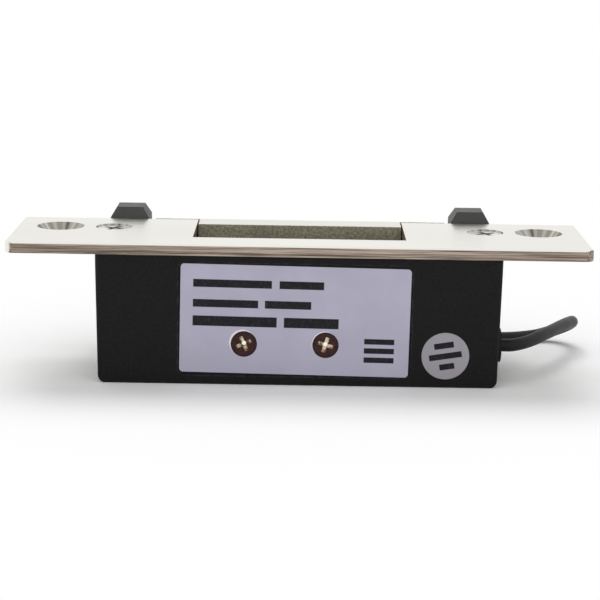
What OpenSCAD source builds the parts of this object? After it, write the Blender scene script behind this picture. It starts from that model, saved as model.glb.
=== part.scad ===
// Electric strike with a flat faceplate, a pivoting keeper and a side-entry lead.
// Lengths are millimetres. X runs along the faceplate, Y from the labelled side
// to the keeper side, and Z up from the base of the body to the faceplate.

/* [Faceplate] */
// Length of the faceplate
plate_l = 123.8; // [116:0.1:140]
// Width of the faceplate
plate_w = 31.8; // [31:0.1:36]
// Thickness of the faceplate
plate_t = 2.4; // [2:0.1:4]
// Radius of the faceplate corners
plate_corner_r = 2; // [1:0.1:5]
// Small chamfer on the upper edges of the faceplate
plate_edge = 0.35; // [0.1:0.05:0.8]
// Distance between the two frame screw holes
frame_hole_gap = 104.8; // [100:0.1:110]
// Diameter of the frame screw holes
frame_hole_d = 6; // [4:0.1:7]
// Diameter of the countersinks of the frame screw holes
frame_csk_d = 10.4; // [8:0.1:11]
// Distance of both hole rows from the front edge of the faceplate
hole_row = 20.5; // [18:0.1:22]
// Width of the lip in front of the keeper opening
front_lip = 8.8; // [8:0.1:11]
// Width of the keeper opening
cut_w = 45.6; // [40:0.1:46]

/* [Faceplate screws] */
// Distance of the faceplate screws from the housing's ends
plate_screw_inset = 2.3; // [2.2:0.1:3]
// Diameter of the faceplate screws
plate_screw_d = 4; // [3:0.1:4.2]
// Head diameter of the faceplate screws
plate_head_d = 8; // [7:0.1:8.4]
// Length of the faceplate screws
plate_screw_l = 12; // [8:0.5:16]
// How far the heads sit below the faceplate's surface
plate_screw_sink = 0.3; // [0:0.05:0.5]

/* [Housing] */
// Width of the housing at its top
body_w = 86; // [85:0.1:88]
// Height of the housing up to the faceplate
body_h = 27.8; // [27:0.1:32]
// How far the housing reaches back behind the faceplate
rear_reach = 8.8; // [8.2:0.1:12]
// Set-back of the labelled side from the faceplate's front edge
face_set = 0.8; // [0.2:0.1:1.5]
// How much narrower the housing is on each side at its base
draft = 0.6; // [0:0.1:1.2]
// Radius of the lower end corners
body_corner_r = 1.6; // [0.6:0.1:3]
// Radius of the upright edges
body_edge_r = 1.2; // [0.7:0.1:2]
// Thickness of the front wall
front_wall = 2.8; // [2.4:0.1:3.2]
// Thickness of the walls beside the latch pocket
cheek = 1.8; // [1.2:0.1:2.4]
// Thickness of the rear sill below the keeper
rear_wall = 1.8; // [1.2:0.1:2]
// Height of the rear sill
sill_h = 5; // [3:0.1:5.4]
// Height of the pocket floor above the base
pocket_floor_z = 16; // [16:0.1:18]
// Thickness of the pocket floor
pocket_floor_t = 1.4; // [1:0.1:1.4]
// Length of the solid end blocks
end_block = 8.5; // [8:0.1:9]
// Radius of the bosses for the faceplate screws
boss_r = 3.9; // [3:0.1:4.4]

/* [Rear posts] */
// Width of each post at the faceplate's level
post_w = 8.7; // [7:0.1:8.8]
// Height of the posts above the faceplate
post_rise = 2.4; // [1:0.1:4]
// Taper of the post tops on each side
post_taper = 1.4; // [0.5:0.1:2.4]
// Set-back of the posts from the housing's ends
post_set = 0.3; // [0.1:0.1:1]

/* [Keeper] */
// Distance of the keeper's latch face from the faceplate's front edge
latch_face = 25.5; // [25.5:0.1:26.5]
// Thickness of the keeper's latch wall
keeper_wall = 2.8; // [2:0.1:3]
// Thickness of the keeper's ramp and back
keeper_skin = 2.4; // [1.6:0.1:2.8]
// Thickness of the keeper's ribs
keeper_rib = 2.2; // [1.4:0.1:3]
// Gap around the keeper in the faceplate and the housing
keeper_gap = 0.3; // [0.2:0.05:0.4]
// Slope of the keeper's ramp in degrees
ramp_angle = 32; // [24:1:36]
// Radius of the nose at the end of the ramp
nose_r = 2; // [1:0.1:3]
// Height of the keeper pivot above the base
pivot_z = 8; // [7.8:0.1:8.4]
// Distance of the keeper pivot from the faceplate's front edge
pivot_v = 31; // [30.8:0.1:31.4]
// Radius of the keeper's hinge barrels
barrel_r = 4.2; // [3.4:0.1:4.3]
// Diameter of the keeper shaft
shaft_d = 4; // [3:0.1:4.4]
// Radial running clearance on shafts and pins
running = 0.05; // [0.03:0.01:0.08]
// Reach of the keeper's blocking finger in front of the pivot
finger_reach = 11; // [10.6:0.1:11]
// Thickness of the blocking finger
finger_t = 3; // [2:0.1:3.2]
// Width of the blocking finger
finger_w = 5; // [3:0.1:5.4]
// Wire diameter of the keeper spring
spring_wire = 0.9; // [0.5:0.1:1]

/* [Solenoid] */
// Length of the solenoid frame
sol_l = 30; // [26:0.1:31]
// Distance of the solenoid's left end from the middle
sol_x = -18; // [-19:0.1:-17]
// Height of the solenoid frame
sol_h = 11.2; // [10.4:0.1:11.4]
// Depth of the solenoid frame
sol_d = 12.2; // [12:0.1:12.4]
// Sheet thickness of the solenoid frame
sol_t = 2; // [1.5:0.1:2.2]
// Diameter of the coil winding
coil_d = 9.4; // [8:0.1:9.5]
// Diameter of the plunger
plunger_d = 4.6; // [4:0.1:5]
// Travel of the plunger
plunger_travel = 3; // [2:0.1:3]

/* [Locking lever] */
// Length of the lever arm on the plunger
lever_arm = 7.8; // [7.4:0.1:8]
// Length of the lever arm that blocks the keeper
block_arm = 8; // [7.6:0.1:8.4]
// Thickness of the lever arms
lever_t = 2; // [1.4:0.1:2]
// Radius of the lever hub
lever_hub_r = 3.3; // [2.6:0.1:3.4]
// Diameter of the lever pin
lever_pin_d = 3; // [2:0.1:3.4]

/* [Label side] */
// Width of the label
label_w = 48.6; // [40:0.1:50]
// Distance of the label from the housing's base and from the faceplate
label_edge = 2.2; // [2:0.1:4]
// Tilt of the label in degrees, as it was stuck on
label_tilt = 0.7; // [0:0.1:0.8]
// Radius of the label corners
label_r = 0.8; // [0.3:0.1:2]
// Depth of the label pocket
label_pocket = 0.3; // [0.2:0.05:0.5]
// Distance between the two screws in the label side
face_screw_gap = 17.3; // [14:0.1:19]
// Head diameter of the screws in the label side
face_head_d = 5.4; // [4.5:0.1:5.8]
// Thread diameter of the screws in the label side
face_screw_d = 3; // [2.5:0.1:3.5]
// Diameter of the round sticker
sticker_d = 10.1; // [8:0.1:11]

/* [Base cover] */
// Thickness of the base cover
cover_t = 1.4; // [1.3:0.1:1.6]
// Gap around the base cover
cover_gap = 0.15; // [0.05:0.05:0.3]
// Thread diameter of the cover screws
cover_screw_d = 2.5; // [2:0.1:3]

/* [Lead] */
// Outer diameter of the lead
lead_d = 2.8; // [2:0.1:3]
// Outer diameter of the grommet's body
grommet_d = 5.4; // [4.6:0.1:6]
// Mean radius of the stored coil of lead
lead_coil_r = 16.8; // [14:0.1:17]

/* [Hidden] */
$fn = 48;
EPS = 0.01;
BIG = 60;

// Heights and depths that follow from the sizes above
overall_d = plate_w + rear_reach;
plate_screw_gap = body_w - 2 * plate_screw_inset;
post_x = body_w / 2 - post_set - post_w;
plate_top = body_h + plate_t;
front_in = face_set + front_wall;
pocket_w = cut_w + keeper_gap + 0.1;
keeper_w = cut_w - 2 * keeper_gap;
bay_back = latch_face - keeper_gap;
partition_t = 1.2;
chamber_back = bay_back - partition_t;
ceiling_z = pocket_floor_z - pocket_floor_t;
block_x = body_w / 2 - end_block;
top_skin = 2;
bay_floor_z = 1.6;
bay_x = post_x - 1;
keeper_wide = 2 * (bay_x - 0.5);
bay_ceiling_z = pivot_z + barrel_r + 0.6;
lip_v = plate_w + keeper_gap + 0.1;
nose_v = overall_d - 0.3;
keeper_mid = 9;
keeper_bar = 9;

// Solenoid, plunger and lever
sol_mid_v = front_in + sol_t + coil_d / 2 + 0.3;
sol_mid_z = 7.9;
sol_end = sol_x + sol_l;
bobbin_wall = 0.65;
plunger_r = plunger_d / 2;
bore_r = plunger_r + 0.08;
core_end = sol_x + sol_t + 10;
core_gap = 0.2;
plunger_in = core_end + plunger_travel + core_gap;
collar_x = sol_end + 3.9;
collar_t = 1.1;
lever_x = collar_x + collar_t + 3.75;
lever_v = sol_mid_v + lever_arm;
finger_top = pivot_z - 1;
lever_z = finger_top + 0.35;
tongue_top = lever_z - 0.35;
tongue_t = 1.8;
lever_turn = asin(plunger_travel / lever_arm);
pin_r = 0.9;
finger_x = lever_x - 9.25;
boss_low = lever_z + lever_t + 1.95;

// Label side
label_x = -0.7;
label_z = body_h / 2 + 0.1;
label_h = body_h - 2 * label_edge;
face_screw_x = -2.8;
face_screw_z = 8.8;
face_turns = [-25, 17];
sticker_x = body_w / 2 - 11.7;
sticker_z = 6.9;

// Circuit board on the inner side of the front wall
board_w = 7.8;
board_h = 9.8;
board_t = 1.4;
board_x = block_x - 1.1 - board_w;
board_z = 2.6;

// Base cover
cover_x = body_w / 2 - draft - 2.2;
cover_v0 = face_set + 1.8;
cover_v1 = bay_back - 0.2;
cover_front_x = body_w / 2 - 5.5;
cover_front_v = cover_v0 + 5.4;
cover_rear_x = lever_x + lever_hub_r + 3.45;
cover_rear_v = chamber_back - 3.1;
cover_screws = [
    [-cover_front_x, cover_front_v], [cover_front_x, cover_front_v],
    [-cover_rear_x, cover_rear_v], [cover_rear_x, cover_rear_v]
];
cover_head_d = 2 * cover_screw_d;
cover_screw_l = 7;

// Lead: route of its free part, from the grommet to the coil behind the body
lead_v = 14;
lead_z = 6.4;
grommet_out = body_w / 2 + 1.2;
lead_route = [
    [44.2, -6.3, 6.4], [46.5, -6.3, 6.4], [48.8, -5.4, 6.6], [50.9, -3.6, 6.8],
    [52.8, -1.3, 7], [54.5, 1.4, 7.1], [56.2, 4.3, 7.1], [57.9, 7.3, 7.1],
    [59.6, 10.4, 7.1], [61.3, 13.6, 7], [62.8, 16.9, 6.7], [63.5, 20, 6],
    [63.2, 22.9, 4.8], [61.6, 25.2, 3.4], [59.1, 26.2, 2.2], [56.3, 25.6, 1.5],
    [53.6, 24.2, 1.4], [50.6, 22.9, 1.4], [47.4, 22.3, 1.4], [44, 22.2, 1.4],
    [40, 22.4, 1.4], [36, 22.4, 1.4], [31, 22.4, 1.4], [26, 22.4, 1.4]
];
lead_coil_at = [20, 39.2];
core_d = 1.1;

// Moves from depths behind the faceplate's front edge to the part's own frame
module seat() {
    translate([0, -overall_d / 2, 0]) children();
}

// Flat rectangle with round corners, centred
module round_rect(w, d, r) {
    union() {
        square([w - 2 * r, d], center = true);
        square([w, d - 2 * r], center = true);
        for (x = [-1, 1], y = [-1, 1])
            translate([x * (w / 2 - r), y * (d / 2 - r)]) circle(r);
    }
}

// Plate with round corners from v0 to v1 and z0 to z1
module round_slab(w, v0, v1, z0, z1, r) {
    translate([0, (v0 + v1) / 2, z0])
        linear_extrude(z1 - z0) round_rect(w, v1 - v0, r);
}

// Box from x0 to x1, v0 to v1 and z0 to z1
module box(x0, x1, v0, v1, z0, z1) {
    translate([x0, v0, z0]) cube([x1 - x0, v1 - v0, z1 - z0]);
}

// Extrudes an outline of width and height from depth v0 to v1
module along_v(v0, v1) {
    translate([0, v1, 0]) rotate([90, 0, 0]) linear_extrude(v1 - v0) children();
}

// Extrudes an outline of depth and height from x0 to x1
module along_x(x0, x1) {
    translate([x0, 0, 0]) rotate([90, 0, 90]) linear_extrude(x1 - x0) children();
}

// Round bar along X
module bar_x(x0, x1, v, z, r) {
    translate([x0, v, z]) rotate([0, 90, 0]) cylinder(h = x1 - x0, r = r);
}

// Round bar along the depth
module bar_v(v0, v1, x, z, r) {
    translate([x, v1, z]) rotate([90, 0, 0]) cylinder(h = v1 - v0, r = r);
}

// Round bar between two points
module rod(a, b, r) {
    d = b - a;
    translate(a)
        rotate([0, acos(d[2] / norm(d)), atan2(d[1], d[0])])
            cylinder(h = norm(d), r = r, $fn = 16);
}

// Countersunk hole or head with its wide end at height z
module countersink(x, v, z, head_d, bore_d, depth) {
    translate([x, v, z - (head_d - bore_d) / 2])
        cylinder(h = (head_d - bore_d) / 2, r1 = bore_d / 2, r2 = head_d / 2);
    translate([x, v, z - depth]) cylinder(h = depth - EPS, d = bore_d);
}

// Unit vector
function unit(a) = a / norm(a);

// Direction of a path at point i
function heading(p, i) = unit(p[min(i + 1, len(p) - 1)] - p[max(i - 1, 0)]);

// Ring of points across a path at point i
function ring(p, i, r, sides, ref) =
    let (t = heading(p, i), n = unit(cross(t, ref)), m = cross(t, n))
    [for (k = [0:sides - 1])
        p[i] + r * (cos(360 * (k + 0.5) / sides) * n + sin(360 * (k + 0.5) / sides) * m)];

// Closed tube along a path
module sweep(p, r, sides, ref) {
    count = len(p);
    pts = [for (i = [0:count - 1]) each ring(p, i, r, sides, ref)];
    walls = [for (i = [0:count - 2], k = [0:sides - 1])
        let (a = i * sides + k, b = i * sides + (k + 1) % sides)
        each [[a, a + sides, b + sides], [a, b + sides, b]]];
    start = [for (k = [0:sides - 1]) k];
    end = [for (k = [sides - 1:-1:0]) (count - 1) * sides + k];
    polyhedron(points = pts, faces = concat(walls, [start, end]));
}

// Half-width of the housing at height z
function half_w(z) = body_w / 2 - draft * (1 - z / body_h);

// Faceplate outline with its keeper opening, holes and edges
module faceplate() {
    color("silver") seat() difference() {
        intersection() {
            round_slab(plate_l, 0, plate_w, body_h, plate_top, plate_corner_r);
            along_v(0, plate_w) polygon([
                [-plate_l / 2, body_h], [plate_l / 2, body_h],
                [plate_l / 2, plate_top - plate_edge],
                [plate_l / 2 - plate_edge, plate_top],
                [-plate_l / 2 + plate_edge, plate_top],
                [-plate_l / 2, plate_top - plate_edge]
            ]);
            along_x(-plate_l / 2, plate_l / 2) polygon([
                [0, body_h], [plate_w, body_h],
                [plate_w, plate_top - plate_edge],
                [plate_w - plate_edge, plate_top],
                [plate_edge, plate_top],
                [0, plate_top - plate_edge]
            ]);
        }
        box(-cut_w / 2, cut_w / 2, front_lip, plate_w + 1, body_h - 1, plate_top + 1);
        for (s = [-1, 1]) {
            frame_hole(s * frame_hole_gap / 2);
            plate_screw_hole(s * plate_screw_gap / 2);
        }
    }
}

// Countersunk hole for a frame screw
module frame_hole(x) {
    translate([x, hole_row, body_h - 1])
        cylinder(h = plate_t + 2, d = frame_hole_d);
    translate([x, hole_row, plate_top - (frame_csk_d - frame_hole_d) / 2])
        cylinder(h = (frame_csk_d - frame_hole_d) / 2 + EPS,
            r1 = frame_hole_d / 2, r2 = frame_csk_d / 2 + EPS);
}

// Countersunk hole for a faceplate screw
module plate_screw_hole(x) {
    translate([x, hole_row, body_h - 1])
        cylinder(h = plate_t + 2, d = plate_screw_d);
    translate([x, hole_row, plate_top - (plate_head_d - plate_screw_d) / 2])
        cylinder(h = (plate_head_d - plate_screw_d) / 2 + EPS,
            r1 = plate_screw_d / 2, r2 = plate_head_d / 2 + EPS);
}

// Flat-head screws that hold the faceplate on the housing
module plate_screws() {
    color("lightgray") seat() for (s = [-1, 1]) difference() {
        countersink(s * plate_screw_gap / 2, hole_row, plate_top - plate_screw_sink,
            plate_head_d - 2 * plate_screw_sink, plate_screw_d,
            plate_screw_l - plate_screw_sink);
        translate([s * plate_screw_gap / 2, hole_row, plate_top - plate_screw_sink])
            rotate(30 * s) cross_recess(plate_head_d * 0.55, 1.1, 1.2);
    }
}

// Cross-shaped driver recess below height zero
module cross_recess(span, slot, depth) {
    for (a = [0, 90])
        rotate(a) translate([-span / 2, -slot / 2, -depth]) cube([span, slot, depth + 1]);
}

// Outer form of the housing with drafted ends and round edges
module housing_block() {
    intersection() {
        along_v(face_set, overall_d) difference() {
            polygon([
                [-half_w(0), 0], [half_w(0), 0],
                [half_w(body_h), body_h], [-half_w(body_h), body_h]
            ]);
            for (s = [-1, 1]) scale([s, 1])
                translate([half_w(body_corner_r) - body_corner_r, body_corner_r])
                    difference() {
                        translate([0, -body_corner_r - 1])
                            square(body_corner_r + 1);
                        circle(body_corner_r);
                    }
        }
        round_slab(body_w, face_set, overall_d, 0, body_h, body_edge_r);
    }
}

// Post beside the keeper, with a tapered top
module post(s) {
    post_top = plate_top + post_rise;
    x0 = post_x;
    x1 = post_x + post_w;
    v0 = plate_w + 0.5;
    v1 = overall_d;
    scale([s, 1, 1]) intersection() {
        along_v(v0, v1) polygon([
            [x0, body_h - 1], [x1, body_h - 1], [x1, plate_top],
            [x1 - post_taper, post_top], [x0 + post_taper, post_top], [x0, plate_top]
        ]);
        along_x(x0, x1) polygon([
            [v0, body_h - 1], [v1, body_h - 1], [v1, plate_top],
            [v1 - post_taper, post_top], [v0 + post_taper / 2, post_top], [v0, plate_top]
        ]);
    }
}

// Boss under each faceplate screw, with a conical foot
module screw_boss(s) {
    translate([s * plate_screw_gap / 2, hole_row, body_h - 11])
        cylinder(h = 11, r = boss_r);
    translate([s * plate_screw_gap / 2, hole_row, body_h - 15])
        cylinder(h = 4 + EPS, r1 = 1.5, r2 = boss_r);
}

// Cast housing
module housing() {
    color("#222224") seat() difference() {
        union() {
            difference() {
                union() {
                    housing_block();
                    for (s = [-1, 1]) {
                        post(s);
                        screw_boss(s);
                    }
                }
                housing_hollows();
            }
            housing_inner_bosses();
        }
        housing_holes();
    }
}

// Latch pocket, keeper bay, solenoid chamber and side pockets
module housing_hollows() {
    box(-pocket_w / 2, pocket_w / 2, front_lip - 0.1, bay_back, pocket_floor_z, BIG);
    box(-pocket_w / 2, pocket_w / 2, bay_back - EPS, lip_v, bay_ceiling_z - EPS, BIG);
    box(-bay_x, bay_x, bay_back, overall_d - rear_wall, bay_floor_z, bay_ceiling_z);
    box(-bay_x, bay_x, lip_v - 0.3, overall_d + 1, sill_h, BIG);
    box(-block_x, block_x, front_in, chamber_back, -1, ceiling_z);
    for (s = [-1, 1]) scale([s, 1, 1])
        box(pocket_w / 2 + cheek, block_x, front_in, chamber_back, -1, body_h - top_skin);
    box(finger_x - 0.9, finger_x + finger_w + 0.9, chamber_back - 1, bay_back + 1,
        bay_floor_z, ceiling_z);
    round_slab(2 * cover_x, cover_v0, cover_v1, -1, cover_t, 1.5);
}

// Bosses that hang in the solenoid chamber
module housing_inner_bosses() {
    translate([lever_x, lever_v, boss_low])
        cylinder(h = ceiling_z - boss_low + EPS, r = 3);
    for (i = [2, 3])
        translate([cover_screws[i][0], cover_screws[i][1], cover_t])
            cylinder(h = body_h - top_skin - cover_t + EPS, r = 3);
}

// Screw holes, shaft bearings, gland bore and the recess for the label
module housing_holes() {
    for (s = [-1, 1])
        translate([s * plate_screw_gap / 2, hole_row, plate_top - plate_screw_l])
            cylinder(h = plate_screw_l, d = plate_screw_d);
    for (c = cover_screws)
        translate([c[0], c[1], -1]) cylinder(h = cover_screw_l + 1, d = cover_screw_d);
    for (s = [-1, 1])
        bar_v(face_set - 1, front_in + 1, face_screw_x + s * face_screw_gap / 2,
            face_screw_z, face_screw_d / 2);
    for (s = [-1, 1])
        bar_v(face_set - 1, face_set + label_pocket + 1.4,
            face_screw_x + s * face_screw_gap / 2, face_screw_z, face_head_d / 2 + 0.1);
    translate([label_x, face_set + label_pocket, label_z]) rotate([90, 0, 0])
        linear_extrude(label_pocket + 1)
            round_rect(label_w + 0.9, label_h + 0.9, label_r + 0.5);
    bar_x(bay_x - 1, body_w / 2 + 1, pivot_v, pivot_z, shaft_d / 2);
    bar_x(-bay_x - 6, -bay_x + 1, pivot_v, pivot_z, shaft_d / 2);
    bar_x(block_x - 1, body_w / 2 + 1, lead_v, lead_z, grommet_d / 2);
    bar_x(body_w / 2 - 0.8, body_w / 2 + 1, lead_v, lead_z, grommet_d / 2 + 1.1);
    translate([lever_x, lever_v, boss_low - 1])
        cylinder(h = ceiling_z - boss_low + 0.4, d = lever_pin_d);
}

// Base cover under the solenoid chamber
module base_cover() {
    color("#2b2b2d") seat() difference() {
        round_slab(2 * (cover_x - cover_gap), cover_v0 + cover_gap,
            cover_v1 - cover_gap, 0, cover_t, 1.4);
        for (c = cover_screws) {
            translate([c[0], c[1], -1]) cylinder(h = cover_t + 2, d = cover_screw_d);
            translate([c[0], c[1], -EPS])
                cylinder(h = (cover_head_d - cover_screw_d) / 2 + EPS,
                    r1 = cover_head_d / 2 + EPS, r2 = cover_screw_d / 2);
        }
    }
}

// Countersunk screws of the base cover
module cover_screws() {
    color("silver") seat() for (c = cover_screws)
        translate([c[0], c[1], 0]) difference() {
            union() {
                cylinder(h = (cover_head_d - cover_screw_d) / 2,
                    r1 = cover_head_d / 2, r2 = cover_screw_d / 2);
                cylinder(h = cover_screw_l, d = cover_screw_d);
            }
            rotate([180, 0, 45]) cross_recess(cover_head_d * 0.5, 0.7, 0.9);
        }
}

// Ramp and back of the keeper as an outline of depth and height
module keeper_shell() {
    nose_c = nose_v - nose_r;
    fall = (nose_c - lip_v - 0.3) * tan(ramp_angle);
    nose_z = plate_top - fall - nose_r / cos(ramp_angle);
    back_low = pivot_z + 2.6;
    translate([nose_c, nose_z]) circle(nose_r);
    polygon([
        [lip_v, plate_top], [lip_v + 0.3, plate_top],
        [nose_c + nose_r * sin(ramp_angle), nose_z + nose_r * cos(ramp_angle)],
        [nose_c, nose_z], [nose_v, nose_z], [nose_v, nose_z - 5],
        [nose_v - 3, back_low], [nose_v - 3 - keeper_skin, back_low],
        [nose_v - keeper_skin, nose_z - 5],
        [nose_v - keeper_skin, nose_z - 1],
        [lip_v, plate_top - keeper_skin - 1]
    ]);
}

// Rib between the latch wall and the back of the keeper
module keeper_web(front) {
    polygon([
        [front, pivot_z + 1], [front, plate_top - 1],
        [lip_v, plate_top - 1], [nose_v - 1.2, plate_top - 6.8],
        [nose_v - 1.2, plate_top - 11], [nose_v - 4, pivot_z + 2.6],
        [pivot_v + 3.4, pivot_z - 2]
    ]);
}

// Pivoting keeper: latch wall, top deck, ramp, ribs, barrels and finger
module keeper() {
    half = keeper_w / 2;
    wide = keeper_wide / 2;
    color("#8f8f8a") seat() difference() {
        union() {
            along_x(-half, half) polygon([
                [latch_face, pivot_z + 1], [latch_face, plate_top],
                [lip_v + EPS, plate_top], [lip_v + EPS, plate_top - keeper_wall],
                [latch_face + keeper_wall, plate_top - keeper_wall],
                [latch_face + keeper_wall, pivot_z + 1]
            ]);
            along_x(-wide, wide) keeper_shell();
            for (x = [-half, -keeper_mid - 1 - keeper_rib, keeper_mid + 1, half - keeper_rib])
                along_x(x, x + keeper_rib) keeper_web(latch_face + 1);
            for (x = [-wide, wide - keeper_rib])
                along_x(x, x + keeper_rib) keeper_web(lip_v);
            bar_x(-wide, -half + keeper_bar, pivot_v, pivot_z, barrel_r);
            bar_x(keeper_mid, wide, pivot_v, pivot_z, barrel_r);
            along_x(finger_x, finger_x + finger_w) polygon([
                [pivot_v - finger_reach, finger_top - finger_t],
                [pivot_v - finger_reach, finger_top],
                [pivot_v - 4, finger_top], [pivot_v - 3, pivot_z + 2.6],
                [pivot_v, pivot_z + 2.6], [pivot_v, finger_top - finger_t]
            ]);
        }
        bar_x(-wide - 1, wide + 1, pivot_v, pivot_z, shaft_d / 2 + running);
        box(-half + keeper_bar, keeper_mid, latch_face - 1, nose_v - 5.6, -1, pivot_z + 4.8);
    }
}

// Shaft of the keeper, pressed into the housing's end blocks
module keeper_shaft() {
    color("silver") seat()
        bar_x(-bay_x - 6, body_w / 2 - 1, pivot_v, pivot_z, shaft_d / 2);
}

// Torsion spring of the keeper, with one leg on the keeper and one on the floor
module keeper_spring() {
    turns = 8;
    steps = 10;
    r = shaft_d / 2 + 0.4 + spring_wire / 2;
    x0 = -keeper_w / 2 + keeper_bar + 0.5;
    pitch = (keeper_mid - x0 - 1 - spring_wire) / turns;
    last = turns * steps;
    coil_pts = [for (i = [0:last])
        [x0 + spring_wire / 2 + pitch * i / steps,
            pivot_v + r * cos(180 + 360 * i / steps),
            pivot_z + r * sin(180 + 360 * i / steps)]];
    leg_up = [[x0 + spring_wire / 2 - 0.05, pivot_v - r + 1.2, pivot_z + 4.4],
        [x0 + spring_wire / 2 - 0.05, pivot_v - r + 0.3, pivot_z + 2]];
    leg_low = [[x0 + spring_wire / 2 + pitch * turns + 0.05, pivot_v - r + 0.3, pivot_z - 3],
        [x0 + spring_wire / 2 + pitch * turns + 0.05, pivot_v - r + 0.9, bay_floor_z + 0.6]];
    color("lightgray") seat()
        sweep(concat(leg_up, coil_pts, leg_low), spring_wire / 2, 6, [1, 0, 0]);
}

// Bent steel frame of the solenoid
module solenoid_frame() {
    z0 = sol_mid_z - sol_h / 2;
    z1 = sol_mid_z + sol_h / 2;
    color("gray") seat() difference() {
        union() {
            box(sol_x, sol_end, front_in, front_in + sol_t, z0, z1);
            box(sol_x, sol_x + sol_t, front_in, front_in + sol_d, z0, z1);
            box(sol_end - sol_t, sol_end, front_in, front_in + sol_d, z0, z1);
        }
        bar_x(sol_x - 1, sol_x + sol_t + 1, sol_mid_v, sol_mid_z, plunger_r - 0.1);
        bar_x(sol_end - sol_t - 1, sol_end + 1, sol_mid_v, sol_mid_z, bore_r);
        for (s = [-1, 1])
            bar_v(front_in - 1, front_in + sol_t + 1,
                face_screw_x + s * face_screw_gap / 2, face_screw_z, face_screw_d / 2);
    }
}

// Moulded bobbin inside the coil
module bobbin() {
    x0 = sol_x + sol_t;
    x1 = sol_end - sol_t;
    color("ivory") seat() difference() {
        union() {
            bar_x(x0, x1, sol_mid_v, sol_mid_z, bore_r + bobbin_wall);
            bar_x(x0, x0 + 1, sol_mid_v, sol_mid_z, coil_d / 2 + 0.2);
            bar_x(x1 - 1, x1, sol_mid_v, sol_mid_z, coil_d / 2 + 0.2);
        }
        bar_x(x0 - 1, x1 + 1, sol_mid_v, sol_mid_z, bore_r);
    }
}

// Wound coil on the bobbin
module coil() {
    x0 = sol_x + sol_t + 1;
    x1 = sol_end - sol_t - 1;
    color("#a85a2a") seat() difference() {
        bar_x(x0, x1, sol_mid_v, sol_mid_z, coil_d / 2);
        bar_x(x0 - 1, x1 + 1, sol_mid_v, sol_mid_z, bore_r + bobbin_wall);
    }
}

// Fixed pole core, riveted in the left end of the frame
module pole_core() {
    color("silver") seat() {
        bar_x(sol_x - 0.2, core_end, sol_mid_v, sol_mid_z, plunger_r - 0.1);
        bar_x(sol_x - 1.2, sol_x, sol_mid_v, sol_mid_z, plunger_r + 0.9);
    }
}

// Plunger with its spring collar and slotted tongue
module plunger() {
    color("lightgray") seat() difference() {
        union() {
            bar_x(plunger_in, collar_x + collar_t, sol_mid_v, sol_mid_z, plunger_r);
            bar_x(collar_x, collar_x + collar_t, sol_mid_v, sol_mid_z, plunger_r + 1.5);
            box(collar_x + collar_t - EPS, lever_x + 2.6, sol_mid_v - 2.6,
                sol_mid_v + 2.6, tongue_top - tongue_t, tongue_top);
        }
        for (dv = [-0.1, 0.7])
            translate([lever_x, sol_mid_v + dv, tongue_top - tongue_t - 1])
                cylinder(h = tongue_t + 2, r = pin_r + 0.2);
        box(lever_x - pin_r - 0.2, lever_x + pin_r + 0.2, sol_mid_v - 0.1,
            sol_mid_v + 0.7, tongue_top - tongue_t - 1, tongue_top + 1);
    }
}

// Conical return spring between the solenoid frame and the plunger's collar
module plunger_spring() {
    turns = 2.5;
    steps = 14;
    wire = 0.5;
    narrow = plunger_r + 0.35 + wire / 2;
    wide = narrow + (wire + 0.1) * turns;
    x0 = sol_end + 0.05 + wire / 2;
    x1 = collar_x - 0.05 - wire / 2;
    last = turns * steps;
    pts = [for (i = [0:last])
        let (r = wide + (narrow - wide) * i / last)
        [x0 + (x1 - x0) * i / last,
            sol_mid_v + r * cos(360 * i / steps),
            sol_mid_z + r * sin(360 * i / steps)]];
    color("silver") seat() sweep(pts, wire / 2, 6, [1, 0, 0]);
}

// Locking lever: one arm on the plunger, the other over the keeper's finger
module lock_lever() {
    color("#9a9a90") seat() translate([lever_x, lever_v, 0]) difference() {
        union() {
            translate([0, 0, lever_z - 1.95])
                cylinder(h = lever_t + 3.6, r = lever_hub_r);
            translate([0, 0, lever_z]) linear_extrude(lever_t) {
                translate([-1.7, -lever_arm]) square([3.4, lever_arm]);
                translate([0, -lever_arm]) circle(1.7);
                translate([-block_arm, -2]) square([block_arm, 2.5]);
            }
            translate([0, -lever_arm, tongue_top - tongue_t])
                cylinder(h = lever_z - tongue_top + tongue_t + EPS, r = pin_r);
        }
        translate([0, 0, lever_z - 3]) cylinder(h = 12, r = lever_pin_d / 2 + running);
    }
}

// Pin of the locking lever
module lever_pin() {
    color("silver") seat() translate([lever_x, lever_v, lever_z - 4.1])
        cylinder(h = ceiling_z - 0.6 - lever_z + 4.1, d = lever_pin_d);
}

// Retaining ring under the locking lever
module lever_clip() {
    color("dimgray") seat() translate([lever_x, lever_v, lever_z - 2.95]) difference() {
        cylinder(h = 0.7, r = lever_pin_d / 2 + 1.1);
        translate([0, 0, -1]) cylinder(h = 3, d = lever_pin_d);
    }
}

// Pan-head screws that hold the solenoid from the label side
module face_screws() {
    head_v = face_set + label_pocket + 0.1;
    seat_v = face_set + label_pocket + 1.4;
    color("#5a2a24") seat() for (i = [0, 1]) {
        x = face_screw_x + (2 * i - 1) * face_screw_gap / 2;
        difference() {
            union() {
                bar_v(head_v, seat_v, x, face_screw_z, face_head_d / 2);
                bar_v(seat_v - EPS, front_in + sol_t, x, face_screw_z, face_screw_d / 2);
            }
            translate([x, head_v, face_screw_z]) rotate([90, face_turns[i], 0])
                cross_recess(face_head_d * 0.62, 0.8, 0.8);
        }
    }
}

// Small circuit board on the inner side of the front wall
module terminal_board() {
    color("#2f5d3a") seat()
        box(board_x, board_x + board_w, front_in, front_in + board_t, board_z, board_z + board_h);
}

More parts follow.
